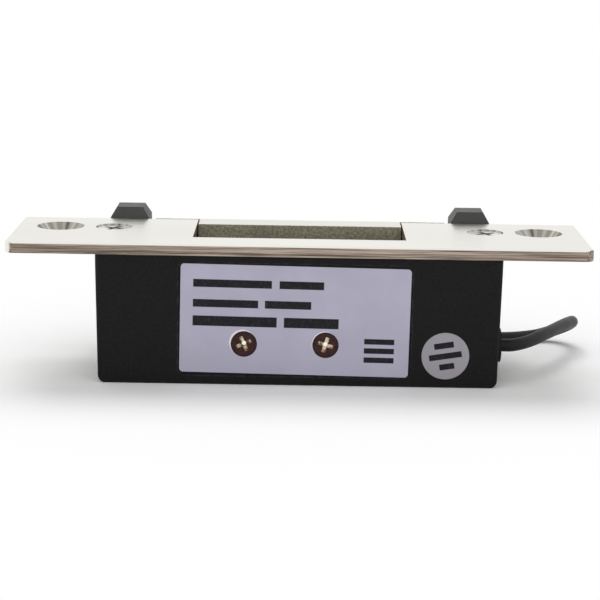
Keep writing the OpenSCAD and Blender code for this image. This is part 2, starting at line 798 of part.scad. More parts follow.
// Suppression diode on the board
module diode() {
    diode_r = 1.1;
    diode_l = 5;
    x0 = board_x + (board_w - diode_l) / 2;
    z = board_z + board_h - 2.4;
    board_front = front_in + board_t;
    color("#1c1c1c") seat() {
        bar_x(x0, x0 + diode_l, board_front + diode_r + 0.1, z, diode_r);
        for (x = [x0 + 0.4, x0 + diode_l - 0.4])
            bar_v(board_front, board_front + diode_r + 0.5, x, z, 0.35);
    }
}

// End of the lead inside the housing, with its two cores on the board
module inner_lead() {
    jacket_x = block_x - 1.5;
    color("#1a1a1a") seat() {
        bar_x(jacket_x, grommet_out, lead_v, lead_z, lead_d / 2);
        for (s = [-1, 1])
            rod([jacket_x + 0.3, lead_v + s * 0.6, lead_z],
                [jacket_x - 2.4 + s * 1.2, front_in + board_t, board_z + 2], core_d / 2);
    }
}

// Grommet with an outer flange around the lead
module grommet() {
    spot_x = body_w / 2 - 0.8;
    color("#151515") seat() difference() {
        union() {
            bar_x(block_x, spot_x + EPS, lead_v, lead_z, grommet_d / 2);
            bar_x(spot_x, grommet_out, lead_v, lead_z, grommet_d / 2 + 1);
        }
        bar_x(block_x - 1, grommet_out + 1, lead_v, lead_z, lead_d / 2);
    }
}

// Label in its pocket, with a hole over each screw
module label() {
    back = face_set + label_pocket;
    color("#a8a6b5") seat() difference() {
        translate([label_x, back, label_z]) rotate([90, label_tilt, 0])
            linear_extrude(0.2) round_rect(label_w, label_h, label_r);
        for (s = [-1, 1])
            bar_v(back - 1, back + 1, face_screw_x + s * face_screw_gap / 2,
                face_screw_z, face_head_d / 2 + 0.1);
    }
}

// Round sticker on the housing's front
module round_sticker() {
    color("#9a98a8") seat()
        bar_v(face_set - 0.15, face_set, sticker_x, sticker_z, sticker_d / 2);
}

// Free part of the lead
module lead_tube() {
    color("#161616") sweep(lead_route, lead_d / 2, 8, [0, 0, 1]);
}

// Coil of lead stored behind the body: two turns, one on the other
module lead_coil() {
    color("#161616") translate([lead_coil_at[0], lead_coil_at[1], lead_d])
        rotate_extrude() translate([lead_coil_r, 0]) {
            square(lead_d, center = true);
            for (s = [-1, 1]) translate([0, s * lead_d / 2]) circle(lead_d / 2);
        }
}

// Two bare-ended cores at the end of the lead
module lead_cores() {
    r = core_d / 2;
    x0 = lead_coil_at[0];
    y0 = lead_coil_at[1] + lead_coil_r;
    z0 = lead_d * 1.5;
    color("#3a3a3a") for (s = [-1, 1])
        sweep([
            [x0, y0 + s * 0.6, z0], [x0 + 3, y0 + 0.2 + s * 0.6, z0 - 0.2],
            [x0 + 7, y0 + 1 + s * 0.8, z0 * 0.7], [x0 + 11, y0 + 2 + s * 1.3, z0 * 0.32],
            [x0 + 15, y0 + 2.6 + s * 2, r], [x0 + 23, y0 + 3 + s * 3.2, r]
        ], r, 8, [0, 0, 1]);
}

faceplate();
plate_screws();
housing();
base_cover();
cover_screws();
keeper();
keeper_shaft();
keeper_spring();
solenoid_frame();
bobbin();
coil();
pole_core();
plunger();
plunger_spring();
lock_lever();
lever_pin();
lever_clip();
face_screws();
terminal_board();
diode();
inner_lead();
grommet();
label();
round_sticker();
lead_tube();
lead_coil();
lead_cores();
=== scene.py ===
"""Finishes, lead, springs and stage of an electric strike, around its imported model."""

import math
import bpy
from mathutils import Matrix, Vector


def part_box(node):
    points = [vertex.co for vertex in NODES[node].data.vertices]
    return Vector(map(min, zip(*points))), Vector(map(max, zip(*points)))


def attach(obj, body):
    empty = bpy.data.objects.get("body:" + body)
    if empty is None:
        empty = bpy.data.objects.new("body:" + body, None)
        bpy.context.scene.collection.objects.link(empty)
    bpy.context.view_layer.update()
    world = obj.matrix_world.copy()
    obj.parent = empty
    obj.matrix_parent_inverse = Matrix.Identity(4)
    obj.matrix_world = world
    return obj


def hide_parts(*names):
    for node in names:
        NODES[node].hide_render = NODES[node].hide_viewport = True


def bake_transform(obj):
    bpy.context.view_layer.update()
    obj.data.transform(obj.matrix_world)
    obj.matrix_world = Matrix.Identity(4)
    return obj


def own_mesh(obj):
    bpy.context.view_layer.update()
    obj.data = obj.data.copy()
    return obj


bl_info = {
    "name": "Electric strike",
    "version": (1, 0, 0),
    "blender": (4, 5, 0),
    "location": "3D View > Sidebar > Strike",
    "description": "Dresses an electric strike: finishes, lead, springs and stage",
    "category": "Object",
}

import bpy
from bpy.props import (
    FloatProperty,
    FloatVectorProperty,
    PointerProperty,
    StringProperty,
)
from mathutils import Matrix, Quaternion, Vector

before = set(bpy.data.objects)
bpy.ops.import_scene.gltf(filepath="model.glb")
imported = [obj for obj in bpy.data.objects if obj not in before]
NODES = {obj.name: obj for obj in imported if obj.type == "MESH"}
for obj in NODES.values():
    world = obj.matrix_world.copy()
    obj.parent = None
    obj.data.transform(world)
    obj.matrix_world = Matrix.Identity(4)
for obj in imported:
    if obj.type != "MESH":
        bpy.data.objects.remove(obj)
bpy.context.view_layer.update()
MM = 0.001

# Free part of the lead, from the grommet to the coil behind the body, in millimetres
LEAD_ROUTE = [
    (44.2, -6.3, 6.4), (46.5, -6.3, 6.4), (48.8, -5.4, 6.6), (50.9, -3.6, 6.8),
    (52.8, -1.3, 7), (54.5, 1.4, 7.1), (56.2, 4.3, 7.1), (57.9, 7.3, 7.1),
    (59.6, 10.4, 7.1), (61.3, 13.6, 7), (62.8, 16.9, 6.7), (63.5, 20, 6),
    (63.2, 22.9, 4.8), (61.6, 25.2, 3.4), (59.1, 26.2, 2.2), (56.3, 25.6, 1.5),
    (53.6, 24.2, 1.4), (50.6, 22.9, 1.4), (47.4, 22.3, 1.4), (44, 22.2, 1.4),
    (40, 22.4, 1.4), (36, 22.4, 1.4), (31, 22.4, 1.4), (26, 22.4, 1.4),
]
LEAD_COIL_AT = (20, 39.2)
LEAD_COIL_R = 16.8
LEAD_TURNS = 1.5

# Plain bars of the label print: middle x, middle z, width, height, in millimetres
LABEL_BARS = [
    (-14.2, 21.6, 16.6, 1.7), (0.4, 21.6, 9.4, 1.7),
    (-15.6, 17.3, 13.8, 1.7), (-2.4, 17.3, 9.8, 1.7),
    (-13.6, 13.5, 17.8, 2.2), (2.6, 13.5, 11.6, 2.2),
    (17.1, 9.9, 6.4, 1.2), (17.1, 7.9, 6.4, 1.2), (17.1, 5.9, 6.4, 1.2),
]
STICKER_BARS = [(0, 2.3, 4.2, 1.3), (0, 0, 7, 1.3), (0, -2.3, 3.2, 1.3)]


class StrikeSizes(bpy.types.PropertyGroup):
    """Sizes that only the looks use."""

    lead_diameter: FloatProperty(
        name="Lead diameter", description="Outer diameter of the lead",
        default=0.0028, unit="LENGTH",
    )
    core_diameter: FloatProperty(
        name="Core diameter", description="Diameter of an insulated core",
        default=0.0011, unit="LENGTH",
    )
    cast_edge: FloatProperty(
        name="Cast edge", description="Rounding of the edges of the castings",
        default=0.0003, unit="LENGTH",
    )
    plate_edge: FloatProperty(
        name="Plate edge", description="Rounding of the edges of the faceplate",
        default=0.00012, unit="LENGTH",
    )
    camera_lens: FloatProperty(
        name="Lens", description="Focal length of the camera in millimetres",
        default=114.98,
    )


class StrikeColours(bpy.types.PropertyGroup):
    """Colours of the finishes."""

    steel: FloatVectorProperty(
        name="Steel", description="Brushed face of the faceplate",
        subtype="COLOR", size=3, default=(0.88, 0.86, 0.805),
    )
    cut_edge: FloatVectorProperty(
        name="Cut edge", description="Cut sides of the faceplate",
        subtype="COLOR", size=3, default=(0.30, 0.245, 0.20),
    )
    black: FloatVectorProperty(
        name="Black", description="Paint of the housing",
        subtype="COLOR", size=3, default=(0.0048, 0.0048, 0.005),
    )
    keeper: FloatVectorProperty(
        name="Keeper", description="Dull plating of the keeper",
        subtype="COLOR", size=3, default=(0.46, 0.425, 0.315),
    )
    label: FloatVectorProperty(
        name="Label", description="Film of the label",
        subtype="COLOR", size=3, default=(0.53, 0.515, 0.635),
    )
    sticker: FloatVectorProperty(
        name="Sticker", description="Paper of the round sticker",
        subtype="COLOR", size=3, default=(0.43, 0.405, 0.45),
    )
    ink: FloatVectorProperty(
        name="Ink", description="Print on the label and the sticker",
        subtype="COLOR", size=3, default=(0.008, 0.008, 0.011),
    )
    jacket: FloatVectorProperty(
        name="Jacket", description="Jacket of the lead",
        subtype="COLOR", size=3, default=(0.011, 0.0115, 0.011),
    )


# Making shader trees


def add(tree, kind, **values):
    """Adds a shader node, and sets its properties and its inputs by name or place."""
    made = tree.nodes.new("ShaderNode" + kind)
    for key, value in values.items():
        if key == "inputs":
            for socket, content in value.items():
                if isinstance(content, bpy.types.NodeSocket):
                    tree.links.new(content, made.inputs[socket])
                else:
                    made.inputs[socket].default_value = content
        else:
            setattr(made, key, value)
    return made


def math_node(tree, operation, a, b=0.0, clamp=False):
    """Adds a math node on one or two values and gives its result."""
    made = add(tree, "Math", operation=operation, use_clamp=clamp, inputs={0: a, 1: b})
    return made.outputs[0]


def blend_colour(tree, share, a, b):
    """Mixes colour a into colour b by share."""
    made = add(tree, "Mix", data_type="RGBA", inputs={0: share, 6: a, 7: b})
    return made.outputs[2]


def spread(tree, value, low, high, to_low, to_high):
    """Maps a value between low and high to another range, and clamps it."""
    made = add(tree, "MapRange", clamp=True, inputs={
        0: value, 1: low, 2: high, 3: to_low, 4: to_high})
    return made.outputs[0]


def new_group(name, inputs, outputs):
    """Makes a shader group with named float or vector sockets."""
    group = bpy.data.node_groups.new(name, "ShaderNodeTree")
    kinds = {"f": "NodeSocketFloat", "v": "NodeSocketVector"}
    for label, kind, value in inputs:
        socket = group.interface.new_socket(label, in_out="INPUT", socket_type=kinds[kind])
        if value is not None:
            socket.default_value = value
    for label, kind in outputs:
        group.interface.new_socket(label, in_out="OUTPUT", socket_type=kinds[kind])
    return group, group.nodes.new("NodeGroupInput"), group.nodes.new("NodeGroupOutput")


def use_group(tree, name, **inputs):
    """Places a shader group in a tree and sets its inputs by name."""
    made = tree.nodes.new("ShaderNodeGroup")
    made.node_tree = bpy.data.node_groups[name]
    for key, content in inputs.items():
        socket = made.inputs[key.replace("_", " ")]
        if isinstance(content, bpy.types.NodeSocket):
            tree.links.new(content, socket)
        else:
            socket.default_value = content
    return made


def make_groups():
    """Builds the effects that several finishes share."""
    if "Brushed lines" in bpy.data.node_groups:
        return

    tree, given, put = new_group(
        "Brushed lines",
        [("Vector", "v", None), ("Along", "f", 60.0), ("Across", "f", 5200.0)],
        [("Lines", "f"), ("Broad", "f")],
    )
    place = add(tree, "SeparateXYZ", inputs={0: given.outputs["Vector"]})
    x = math_node(tree, "MULTIPLY", place.outputs[0], given.outputs["Along"])
    y = math_node(tree, "MULTIPLY", place.outputs[1], given.outputs["Across"])
    z = math_node(tree, "MULTIPLY", place.outputs[2], given.outputs["Across"])
    stretched = add(tree, "CombineXYZ", inputs={0: x, 1: y, 2: z})
    fine = add(tree, "TexNoise", inputs={
        "Vector": stretched.outputs[0], "Scale": 1.0, "Detail": 4.0, "Roughness": 0.65})
    wide = add(tree, "VectorMath", operation="SCALE", inputs={0: stretched.outputs[0]})
    wide.inputs["Scale"].default_value = 0.22
    broad = add(tree, "TexNoise", inputs={
        "Vector": wide.outputs[0], "Scale": 1.0, "Detail": 2.0})
    tree.links.new(fine.outputs[0], put.inputs["Lines"])
    tree.links.new(broad.outputs[0], put.inputs["Broad"])

    tree, given, put = new_group(
        "Casting grain",
        [("Vector", "v", None), ("Scale", "f", 2400.0)],
        [("Grain", "f"), ("Mottle", "f")],
    )
    grain = add(tree, "TexNoise", inputs={
        "Vector": given.outputs["Vector"], "Scale": given.outputs["Scale"],
        "Detail": 5.0, "Roughness": 0.6})
    slow = math_node(tree, "MULTIPLY", given.outputs["Scale"], 0.09)
    mottle = add(tree, "TexNoise", inputs={
        "Vector": given.outputs["Vector"], "Scale": slow, "Detail": 3.0})
    tree.links.new(grain.outputs[0], put.inputs["Grain"])
    tree.links.new(mottle.outputs[0], put.inputs["Mottle"])

    tree, given, put = new_group(
        "Worn edge",
        [("Vector", "v", None), ("Radius", "f", 0.0004), ("Breaks", "f", 900.0)],
        [("Wear", "f")],
    )
    soft = add(tree, "Bevel", samples=6, inputs={"Radius": given.outputs["Radius"]})
    flat = add(tree, "NewGeometry")
    turn = add(tree, "VectorMath", operation="DOT_PRODUCT", inputs={
        0: soft.outputs[0], 1: flat.outputs["Normal"]})
    edge = spread(tree, turn.outputs["Value"], 0.995, 0.86, 0.0, 1.0)
    patches = add(tree, "TexNoise", inputs={
        "Vector": given.outputs["Vector"], "Scale": given.outputs["Breaks"], "Detail": 4.0})
    broken = spread(tree, patches.outputs[0], 0.42, 0.62, 0.15, 1.0)
    tree.links.new(math_node(tree, "MULTIPLY", edge, broken), put.inputs["Wear"])

    tree, given, put = new_group(
        "Bar mask",
        [("Vector", "v", None), ("Middle X", "f", 0.0), ("Middle Z", "f", 0.0),
         ("Width", "f", 0.001), ("Height", "f", 0.001)],
        [("Mask", "f")],
    )
    place = add(tree, "SeparateXYZ", inputs={0: given.outputs["Vector"]})
    sides = []
    for axis, middle, size in ((0, "Middle X", "Width"), (2, "Middle Z", "Height")):
        off = math_node(tree, "SUBTRACT", place.outputs[axis], given.outputs[middle])
        off = math_node(tree, "ABSOLUTE", off)
        half = math_node(tree, "MULTIPLY", given.outputs[size], 0.5)
        inside = math_node(tree, "SUBTRACT", half, off)
        sides.append(spread(tree, inside, -0.00003, 0.00005, 0.0, 1.0))
    tree.links.new(math_node(tree, "MULTIPLY", *sides), put.inputs["Mask"])

    tree, given, put = new_group(
        "Round place",
        [("Vector", "v", None), ("Middle", "v", None), ("Radius", "f", 0.005)],
        [("Mask", "f"), ("Light wedges", "f")],
    )
    off = add(tree, "VectorMath", operation="SUBTRACT", inputs={
        0: given.outputs["Vector"], 1: given.outputs["Middle"]})
    reach = add(tree, "VectorMath", operation="LENGTH", inputs={0: off.outputs[0]})
    inside = math_node(tree, "SUBTRACT", given.outputs["Radius"], reach.outputs["Value"])
    # Wedges of noise round the middle, used as painted shade and highlight in the countersinks.
    rings = add(tree, "VectorMath", operation="NORMALIZE", inputs={0: off.outputs[0]})
    swirl = add(tree, "TexNoise", inputs={
        "Vector": rings.outputs[0], "Scale": 2.3, "Detail": 3.0})
    tree.links.new(spread(tree, inside, 0.0, 0.00004, 0.0, 1.0), put.inputs["Mask"])
    tree.links.new(swirl.outputs[0], put.inputs["Light wedges"])

    tree, given, put = new_group(
        "Dust",
        [("Vector", "v", None), ("Amount", "f", 0.2)],
        [("Mask", "f")],
    )
    facing = add(tree, "TexCoord")
    up = add(tree, "SeparateXYZ", inputs={0: facing.outputs["Normal"]})
    top = spread(tree, up.outputs[2], 0.2, 1.0, 0.25, 1.0)
    specks = add(tree, "TexNoise", inputs={
        "Vector": given.outputs["Vector"], "Scale": 5200.0, "Detail": 2.0})
    fall = spread(tree, specks.outputs[0], 0.52, 0.74, 0.0, 1.0)
    dust = math_node(tree, "MULTIPLY", top, fall)
    tree.links.new(
        math_node(tree, "MULTIPLY", dust, given.outputs["Amount"]), put.inputs["Mask"])


def start_finish(name):
    """Makes a material and gives its tree, its Principled shader and its coordinates."""
    material = bpy.data.materials.new(name)
    material.use_nodes = True
    tree = material.node_tree
    shader = tree.nodes["Principled BSDF"]
    where = add(tree, "TexCoord")
    return material, tree, shader, where.outputs["Object"]


def feed(tree, shader, **sockets):
    """Sets or links sockets of the Principled shader by name."""
    for key, content in sockets.items():
        socket = shader.inputs[key.replace("_", " ")]
        if isinstance(content, bpy.types.NodeSocket):
            tree.links.new(content, socket)
        elif isinstance(content, (tuple, list)) or hasattr(content, "r"):
            socket.default_value = (*content[:3], 1.0)
        else:
            socket.default_value = content


def bump(tree, shader, height, distance, strength=1.0):
    """Puts a bump of that depth in metres on the shader."""
    made = add(tree, "Bump", inputs={
        "Height": height, "Distance": distance, "Strength": strength})
    tree.links.new(made.outputs[0], shader.inputs["Normal"])
    return made


def colour(values):
    """A colour property as four numbers."""
    return (values[0], values[1], values[2], 1.0)


# Finishes


def plate_finish(colours):
    """Brushed stainless steel with a rougher, browner cut edge, whose darkness is partly painted
    shade, and a painted highlight on its left end.
    """
    material, tree, shader, where = start_finish("Brushed plate")
    facing = add(tree, "TexCoord")
    side = add(tree, "SeparateXYZ", inputs={0: facing.outputs["Normal"]})
    place = add(tree, "SeparateXYZ", inputs={0: where})
    turned = add(tree, "CombineXYZ", inputs={
        0: place.outputs[1], 1: place.outputs[0], 2: place.outputs[2]})
    at_end = spread(tree, math_node(tree, "ABSOLUTE", side.outputs[0]), 0.7, 0.705, 0.0, 1.0)
    along_side = add(tree, "Mix", data_type="VECTOR", inputs={
        0: at_end, 4: where, 5: turned.outputs[0]})
    lines = use_group(tree, "Brushed lines", Vector=where, Along=40.0, Across=5200.0)
    streaks = use_group(tree, "Brushed lines", Vector=along_side.outputs[1], Along=70.0,
                        Across=6400.0)
    upright = math_node(tree, "ABSOLUTE", side.outputs[2])
    cut = spread(tree, upright, 0.35, 0.65, 1.0, 0.0)
    face = blend_colour(
        tree, spread(tree, lines.outputs["Lines"], 0.3, 0.7, 0.0, 1.0),
        tuple(0.90 * c for c in colours.steel) + (1.0,), colour(colours.steel))
    streak = spread(tree, streaks.outputs["Lines"], 0.34, 0.66, 0.0, 1.0)
    wide = spread(tree, streaks.outputs["Broad"], 0.35, 0.65, 0.0, 1.0)
    both = math_node(tree, "ADD", math_node(tree, "MULTIPLY", streak, 0.6),
                     math_node(tree, "MULTIPLY", wide, 0.4))
    both = spread(tree, both, 0.22, 0.78, 0.0, 1.0)
    # Painted shade: the cut edge's dark brown is partly its own finish and partly stands in for
    # the darker surroundings that its upright faces reflect.
    edge = blend_colour(
        tree, both, tuple(0.34 * c for c in colours.cut_edge) + (1.0,),
        tuple(min(1.0, 1.75 * c) for c in colours.cut_edge) + (1.0,))
    # Painted highlight: the left end face is painted in the bright steel colour, as if it caught
    # the light from the left.
    painted_end_highlight = math_node(tree, "MULTIPLY", spread(tree, side.outputs[0], -0.3, -0.55, 0.0, 1.0),
                       spread(tree, place.outputs[0], -0.056, -0.059, 0.0, 1.0))
    edge = blend_colour(tree, painted_end_highlight, edge, colour(colours.steel))
    sloped = spread(tree, upright, 0.97, 0.99, 1.0, 0.0)
    folded = add(tree, "CombineXYZ", inputs={
        0: math_node(tree, "ABSOLUTE", place.outputs[0]), 1: place.outputs[1], 2: 0.0})
    # Painted shade and highlight: dark and pale wedges round each countersink stand in for the
    # light on its turned cone.
    for x, radius in ((0.0524, 0.0056), (0.0407, 0.0046)):
        sink = use_group(tree, "Round place", Vector=folded.outputs[0],
                         Middle=(x, 0.0002, 0.0), Radius=radius)
        tone = blend_colour(tree, spread(tree, sink.outputs["Light wedges"], 0.36, 0.62, 0.0, 1.0),
                            (0.085, 0.08, 0.062, 1.0), (0.66, 0.64, 0.58, 1.0))
        bored = math_node(tree, "MULTIPLY", sink.outputs["Mask"], sloped)
        face = blend_colour(tree, bored, face, tone)
        edge = blend_colour(tree, bored, edge, tone)
    rough = math_node(tree, "ADD", spread(tree, lines.outputs["Lines"], 0.3, 0.7, 0.26, 0.4),
                      math_node(tree, "MULTIPLY", cut, 0.16))
    feed(tree, shader, Base_Color=blend_colour(tree, cut, face, edge), Metallic=1.0,
         Roughness=rough, Anisotropic=0.5)
    height = math_node(tree, "ADD", lines.outputs["Lines"],
                       math_node(tree, "MULTIPLY", cut, both))
    bump(tree, shader, height, 0.000012, 0.5)
    return material


def black_finish(colours, name, grey_from=None, specular=0.14):
    """Black paint on a casting, greyer on the posts above the faceplate."""
    material, tree, shader, where = start_finish(name)
    grain = use_group(tree, "Casting grain", Vector=where, Scale=2600.0)
    wear = use_group(tree, "Worn edge", Vector=where, Radius=0.0005, Breaks=700.0)
    dust = use_group(tree, "Dust", Vector=where, Amount=0.25)
    paint = blend_colour(
        tree, grain.outputs["Mottle"], colour(colours.black),
        tuple(1.7 * c for c in colours.black) + (1.0,))
    if grey_from is not None:
        height = add(tree, "SeparateXYZ", inputs={0: where})
        greyer_above = spread(tree, height.outputs[2], grey_from, grey_from + 0.0004, 0.0, 1.0)
        grey = blend_colour(tree, grain.outputs["Mottle"], (0.06, 0.061, 0.06, 1.0),
                            (0.10, 0.101, 0.099, 1.0))
        paint = blend_colour(tree, greyer_above, paint, grey)
    paint = blend_colour(tree, math_node(tree, "MULTIPLY", wear.outputs[0], 0.45),
                         paint, (0.09, 0.09, 0.088, 1.0))
    paint = blend_colour(tree, dust.outputs[0], paint, (0.22, 0.21, 0.2, 1.0))
    rough = spread(tree, grain.outputs["Mottle"], 0.3, 0.7, 0.44, 0.56)
    feed(tree, shader, Base_Color=paint, Roughness=rough, Specular_IOR_Level=specular)
    bump(tree, shader, grain.outputs["Grain"], 0.00003, 0.35)
    return material


def cast_finish(name, base, metallic=0.55, painted_top_light=None):
    """Dull plated casting with a fine grain, brighter edges and a painted highlight on the faces
    that look up.
    """
    material, tree, shader, where = start_finish(name)
    grain = use_group(tree, "Casting grain", Vector=where, Scale=1900.0)
    wear = use_group(tree, "Worn edge", Vector=where, Radius=0.0005, Breaks=800.0)
    tone = spread(tree, grain.outputs["Grain"], 0.3, 0.7, 0.0, 1.0)
    skin = blend_colour(tree, tone, tuple(0.5 * c for c in base) + (1.0,),
                        tuple(min(1.0, 1.45 * c) for c in base) + (1.0,))
    skin = blend_colour(tree, math_node(tree, "MULTIPLY", wear.outputs[0], 0.5), skin,
                        tuple(min(1.0, 1.9 * c) for c in base) + (1.0,))
    rough = spread(tree, grain.outputs["Mottle"], 0.3, 0.7, 0.42, 0.6)
    # Painted highlight: with a top colour given, the faces that look up are painted pale, where
    # the light from above falls.
    if painted_top_light is not None:
        facing = add(tree, "TexCoord")
        up = add(tree, "SeparateXYZ", inputs={0: facing.outputs["Normal"]})
        ragged = math_node(tree, "ADD", up.outputs[2],
                           math_node(tree, "MULTIPLY", grain.outputs["Grain"], 0.4))
        top = spread(tree, ragged, 0.75, 0.95, 0.0, 1.0)
        skin = blend_colour(tree, top, skin, (*painted_top_light, 1.0))
    feed(tree, shader, Base_Color=skin, Metallic=metallic, Roughness=rough)
    bump(tree, shader, grain.outputs["Grain"], 0.00006, 0.5)
    return material


def turned_finish(name, base, rough=0.28, along=2600.0):
    """Plain machined or plated steel with faint tool lines."""
    material, tree, shader, where = start_finish(name)
    lines = use_group(tree, "Brushed lines", Vector=where, Along=along, Across=1300.0)
    grain = use_group(tree, "Casting grain", Vector=where, Scale=1500.0)
    skin = blend_colour(
        tree, spread(tree, lines.outputs["Lines"], 0.3, 0.7, 0.0, 1.0),
        tuple(0.82 * c for c in base) + (1.0,), tuple(min(1.0, 1.08 * c) for c in base) + (1.0,))
    skin = blend_colour(tree, spread(tree, grain.outputs["Mottle"], 0.5, 0.72, 0.0, 0.35),
                        skin, tuple(0.6 * c for c in base) + (1.0,))
    spotted = spread(tree, grain.outputs["Mottle"], 0.3, 0.7, rough * 0.8, rough * 1.35)
    feed(tree, shader, Base_Color=skin, Metallic=1.0, Roughness=spotted)
    bump(tree, shader, lines.outputs["Lines"], 0.000008, 0.4)
    return material


def moulded_finish(name, base, rough=0.45, specular=0.4, fine=0.00002):
    """Moulded plastic or rubber with a faint orange-peel skin."""
    material, tree, shader, where = start_finish(name)
    grain = use_group(tree, "Casting grain", Vector=where, Scale=1700.0)
    dust = use_group(tree, "Dust", Vector=where, Amount=0.12)
    skin = blend_colour(tree, grain.outputs["Mottle"], tuple(0.8 * c for c in base) + (1.0,),
                        tuple(min(1.0, 1.2 * c) for c in base) + (1.0,))
    skin = blend_colour(tree, dust.outputs[0], skin, (0.3, 0.29, 0.28, 1.0))
    varied = spread(tree, grain.outputs["Mottle"], 0.3, 0.7, rough * 0.85, rough * 1.2)
    feed(tree, shader, Base_Color=skin, Roughness=varied, Specular_IOR_Level=specular)
    bump(tree, shader, grain.outputs["Grain"], fine, 0.4)
    return material


def maroon_finish():
    """Screw head painted dark maroon as its dark reflection, with patchy painted highlight and
    shade in its recess and a painted highlight at its middle.
    """
    material, tree, shader, where = start_finish("Maroon screw")
    low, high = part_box("face_screws")
    radius = (high.z - low.z) / 2
    place = add(tree, "SeparateXYZ", inputs={0: where})
    flat = add(tree, "CombineXYZ", inputs={0: place.outputs[0], 1: 0.0, 2: place.outputs[2]})
    sunk = spread(tree, place.outputs[1], low.y + 0.00008, low.y + 0.00016, 0.0, 1.0)
    grain = use_group(tree, "Casting grain", Vector=where, Scale=1500.0)
    middle_z = (low.z + high.z) / 2
    rings = [0.0, 0.0, 0.0]
    for x in (low.x + radius, high.x - radius):
        for share, most in zip((0.74, 0.4, 0.17), range(3)):
            ring = use_group(tree, "Round place", Vector=flat.outputs[0],
                             Middle=(x, 0.0, middle_z), Radius=radius * share)
            rings[most] = math_node(tree, "MAXIMUM", rings[most], ring.outputs["Mask"])
    in_recess = math_node(tree, "MULTIPLY", rings[0], sunk)
    # Painted reflection: the head is painted dark maroon where a plated head would reflect the
    # dark surroundings.
    painted_dark_reflection = blend_colour(tree, spread(tree, grain.outputs["Grain"], 0.35, 0.65, 0.0, 1.0),
                           (0.014, 0.005, 0.006, 1.0), (0.06, 0.012, 0.010, 1.0))
    # Painted highlight and shade: the recess is patched bright and dark, and its middle is
    # painted nearly white.
    patches = spread(tree, grain.outputs["Grain"], 0.42, 0.58, 0.0, 1.0)
    ends = blend_colour(tree, patches, (0.15, 0.1, 0.06, 1.0), (0.62, 0.5, 0.35, 1.0))
    arms = blend_colour(tree, patches, (0.1, 0.07, 0.04, 1.0), (0.7, 0.58, 0.42, 1.0))
    metal = blend_colour(tree, rings[1], ends, arms)
    metal = blend_colour(tree, rings[2], metal, (0.97, 0.93, 0.86, 1.0))
    feed(tree, shader, Base_Color=blend_colour(tree, in_recess, painted_dark_reflection, metal), Metallic=in_recess,
         Roughness=spread(tree, in_recess, 0.0, 1.0, 0.34, 0.2), Specular_IOR_Level=0.25)
    bump(tree, shader, grain.outputs["Grain"], 0.00002, 0.35)
    return material


def copper_finish():
    """Enamelled copper wire laid side by side around the coil."""
    material, tree, shader, where = start_finish("Wound copper")
    place = add(tree, "SeparateXYZ", inputs={0: where})
    turns = math_node(tree, "SINE", math_node(tree, "MULTIPLY", place.outputs[0], 22000.0))
    ridge = spread(tree, turns, -1.0, 1.0, 0.0, 1.0)
    grain = use_group(tree, "Casting grain", Vector=where, Scale=900.0)
    # Painted shade: the colour darkens in the grooves between the turns and lightens on their
    # crests.
    skin = blend_colour(tree, ridge, (0.12, 0.03, 0.008, 1.0), (0.55, 0.2, 0.075, 1.0))
    skin = blend_colour(tree, spread(tree, grain.outputs["Mottle"], 0.4, 0.7, 0.0, 0.4),
                        skin, (0.62, 0.3, 0.13, 1.0))
    feed(tree, shader, Base_Color=skin, Metallic=0.85, Roughness=0.3, Coat_Weight=0.4)
    bump(tree, shader, ridge, 0.00008, 0.7)
    return material


def board_finish():
    """Green board with brighter tracks under the lacquer and two tinned pads."""
    material, tree, shader, where = start_finish("Board lacquer")
    low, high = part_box("terminal_board")
    middle = (low.x + high.x) / 2
    painted_dark_reflection = (0.012, 0.075, 0.028, 1.0)
    track, pads = 0.0, 0.0
    for side in (-1, 1):
        x = middle + side * 0.0021
        for z, w, h in ((low.z + 0.0047, 0.0009, 0.0062), (low.z + 0.0016, 0.0022, 0.0009)):
            bar = use_group(tree, "Bar mask", Vector=where, Middle_X=x, Middle_Z=z,
                            Width=w, Height=h)
            track = math_node(tree, "MAXIMUM", track, bar.outputs[0])
        for z in (low.z + 0.0021, high.z - 0.0024):
            bar = use_group(tree, "Bar mask", Vector=where, Middle_X=x, Middle_Z=z,
                            Width=0.0019, Height=0.0019)
            pads = math_node(tree, "MAXIMUM", pads, bar.outputs[0])
    skin = blend_colour(tree, track, painted_dark_reflection, (0.03, 0.16, 0.06, 1.0))
    skin = blend_colour(tree, pads, skin, (0.62, 0.62, 0.6, 1.0))
    feed(tree, shader, Base_Color=skin, Metallic=pads, Roughness=0.35)
    bump(tree, shader, math_node(tree, "MAXIMUM", track, pads), 0.00004, 0.6)
    return material


def diode_finish():
    """Black moulded diode with a pale band at one end."""
    material, tree, shader, where = start_finish("Diode body")
    low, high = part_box("diode")
    place = add(tree, "SeparateXYZ", inputs={0: where})
    start = spread(tree, place.outputs[0], high.x - 0.0015, high.x - 0.00145, 0.0, 1.0)
    end = spread(tree, place.outputs[0], high.x - 0.0008, high.x - 0.00075, 1.0, 0.0)
    band = math_node(tree, "MULTIPLY", start, end)
    grain = use_group(tree, "Casting grain", Vector=where, Scale=2600.0)
    body = blend_colour(tree, grain.outputs["Grain"], (0.01, 0.01, 0.01, 1.0),
                        (0.03, 0.03, 0.03, 1.0))
    feed(tree, shader, Base_Color=blend_colour(tree, band, body, (0.6, 0.6, 0.58, 1.0)),
         Roughness=0.5)
    bump(tree, shader, grain.outputs["Grain"], 0.00001, 0.4)
    return material


